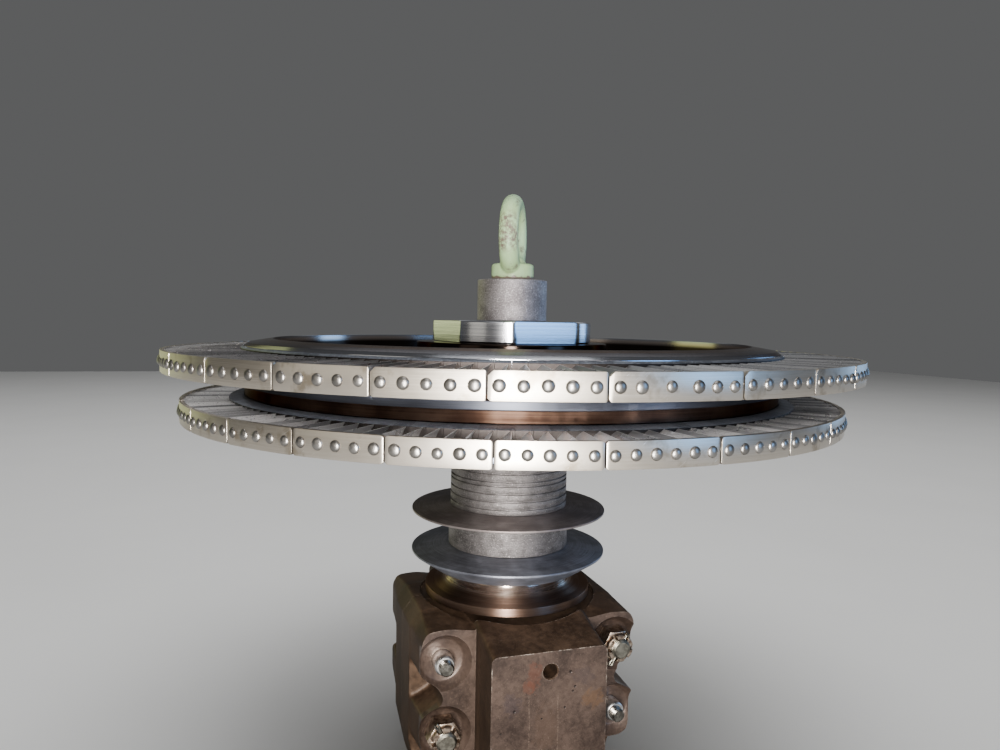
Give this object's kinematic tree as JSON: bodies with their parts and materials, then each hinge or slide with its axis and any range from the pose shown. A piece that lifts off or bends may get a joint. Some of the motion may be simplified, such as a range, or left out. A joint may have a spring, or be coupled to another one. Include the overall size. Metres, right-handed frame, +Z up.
{
  "type": "steam turbine rotor with bearing block",
  "caption": "Two-row bladed steam turbine wheel with riveted shrouds on a vertical shaft, carried by a split cast iron bearing block and lifted by an eye bolt.",
  "frame": {"origin": "middle of the bearing block's underside, on the rotor's axis", "axes": "+Z up along the rotor's axis, towards the eye bolt; the block's front pad with its tapped hole looks along -Y"},
  "size_m": [0.6898, 0.6898, 0.604],
  "materials": {
    "mint_paint": "worn gloss",
    "grey_steel": "dull machined",
    "polished_steel": "polished",
    "disc_steel": "polished",
    "blade_steel": "satin",
    "shroud_steel": "satin",
    "turned_steel": "turned, dull",
    "dark_steel": "dark, turned",
    "cast_iron": "oily",
    "bearing_metal": "lined"
  },
  "bodies": {
    "bearing_block": {"bearing_cap_front": "cast_iron", "bearing_body_rear": "cast_iron", "journal_shell_front": "bearing_metal", "journal_shell_rear": "bearing_metal", "dowel_upper_left": "polished_steel", "dowel_lower_right": "polished_steel", "stud_upper_right": "grey_steel", "stud_lower_left": "grey_steel", "castle_nut_upper_right": "polished_steel", "castle_nut_lower_left": "polished_steel"},
    "rotor": {"eye_bolt": "mint_paint", "shaft_end_cap": "grey_steel", "wheel_nut": "polished_steel", "wheel_disc": "disc_steel", "upper_blade_row": "blade_steel", "lower_blade_row": "blade_steel", "upper_shroud": "shroud_steel", "lower_shroud": "shroud_steel", "shaft": "grey_steel", "gland_sleeve": "turned_steel", "upper_thrower": "dark_steel", "spacer_sleeve": "turned_steel", "lower_thrower": "dark_steel", "oil_collar": "polished_steel"}
  },
  "joints": [
    {"name": "rotor_spin", "type": "hinge", "parent": "bearing_block", "child": "rotor", "pos_m": [0, 0, 0.08], "axis": [0, 0, 1], "continuous": true}
  ]
}
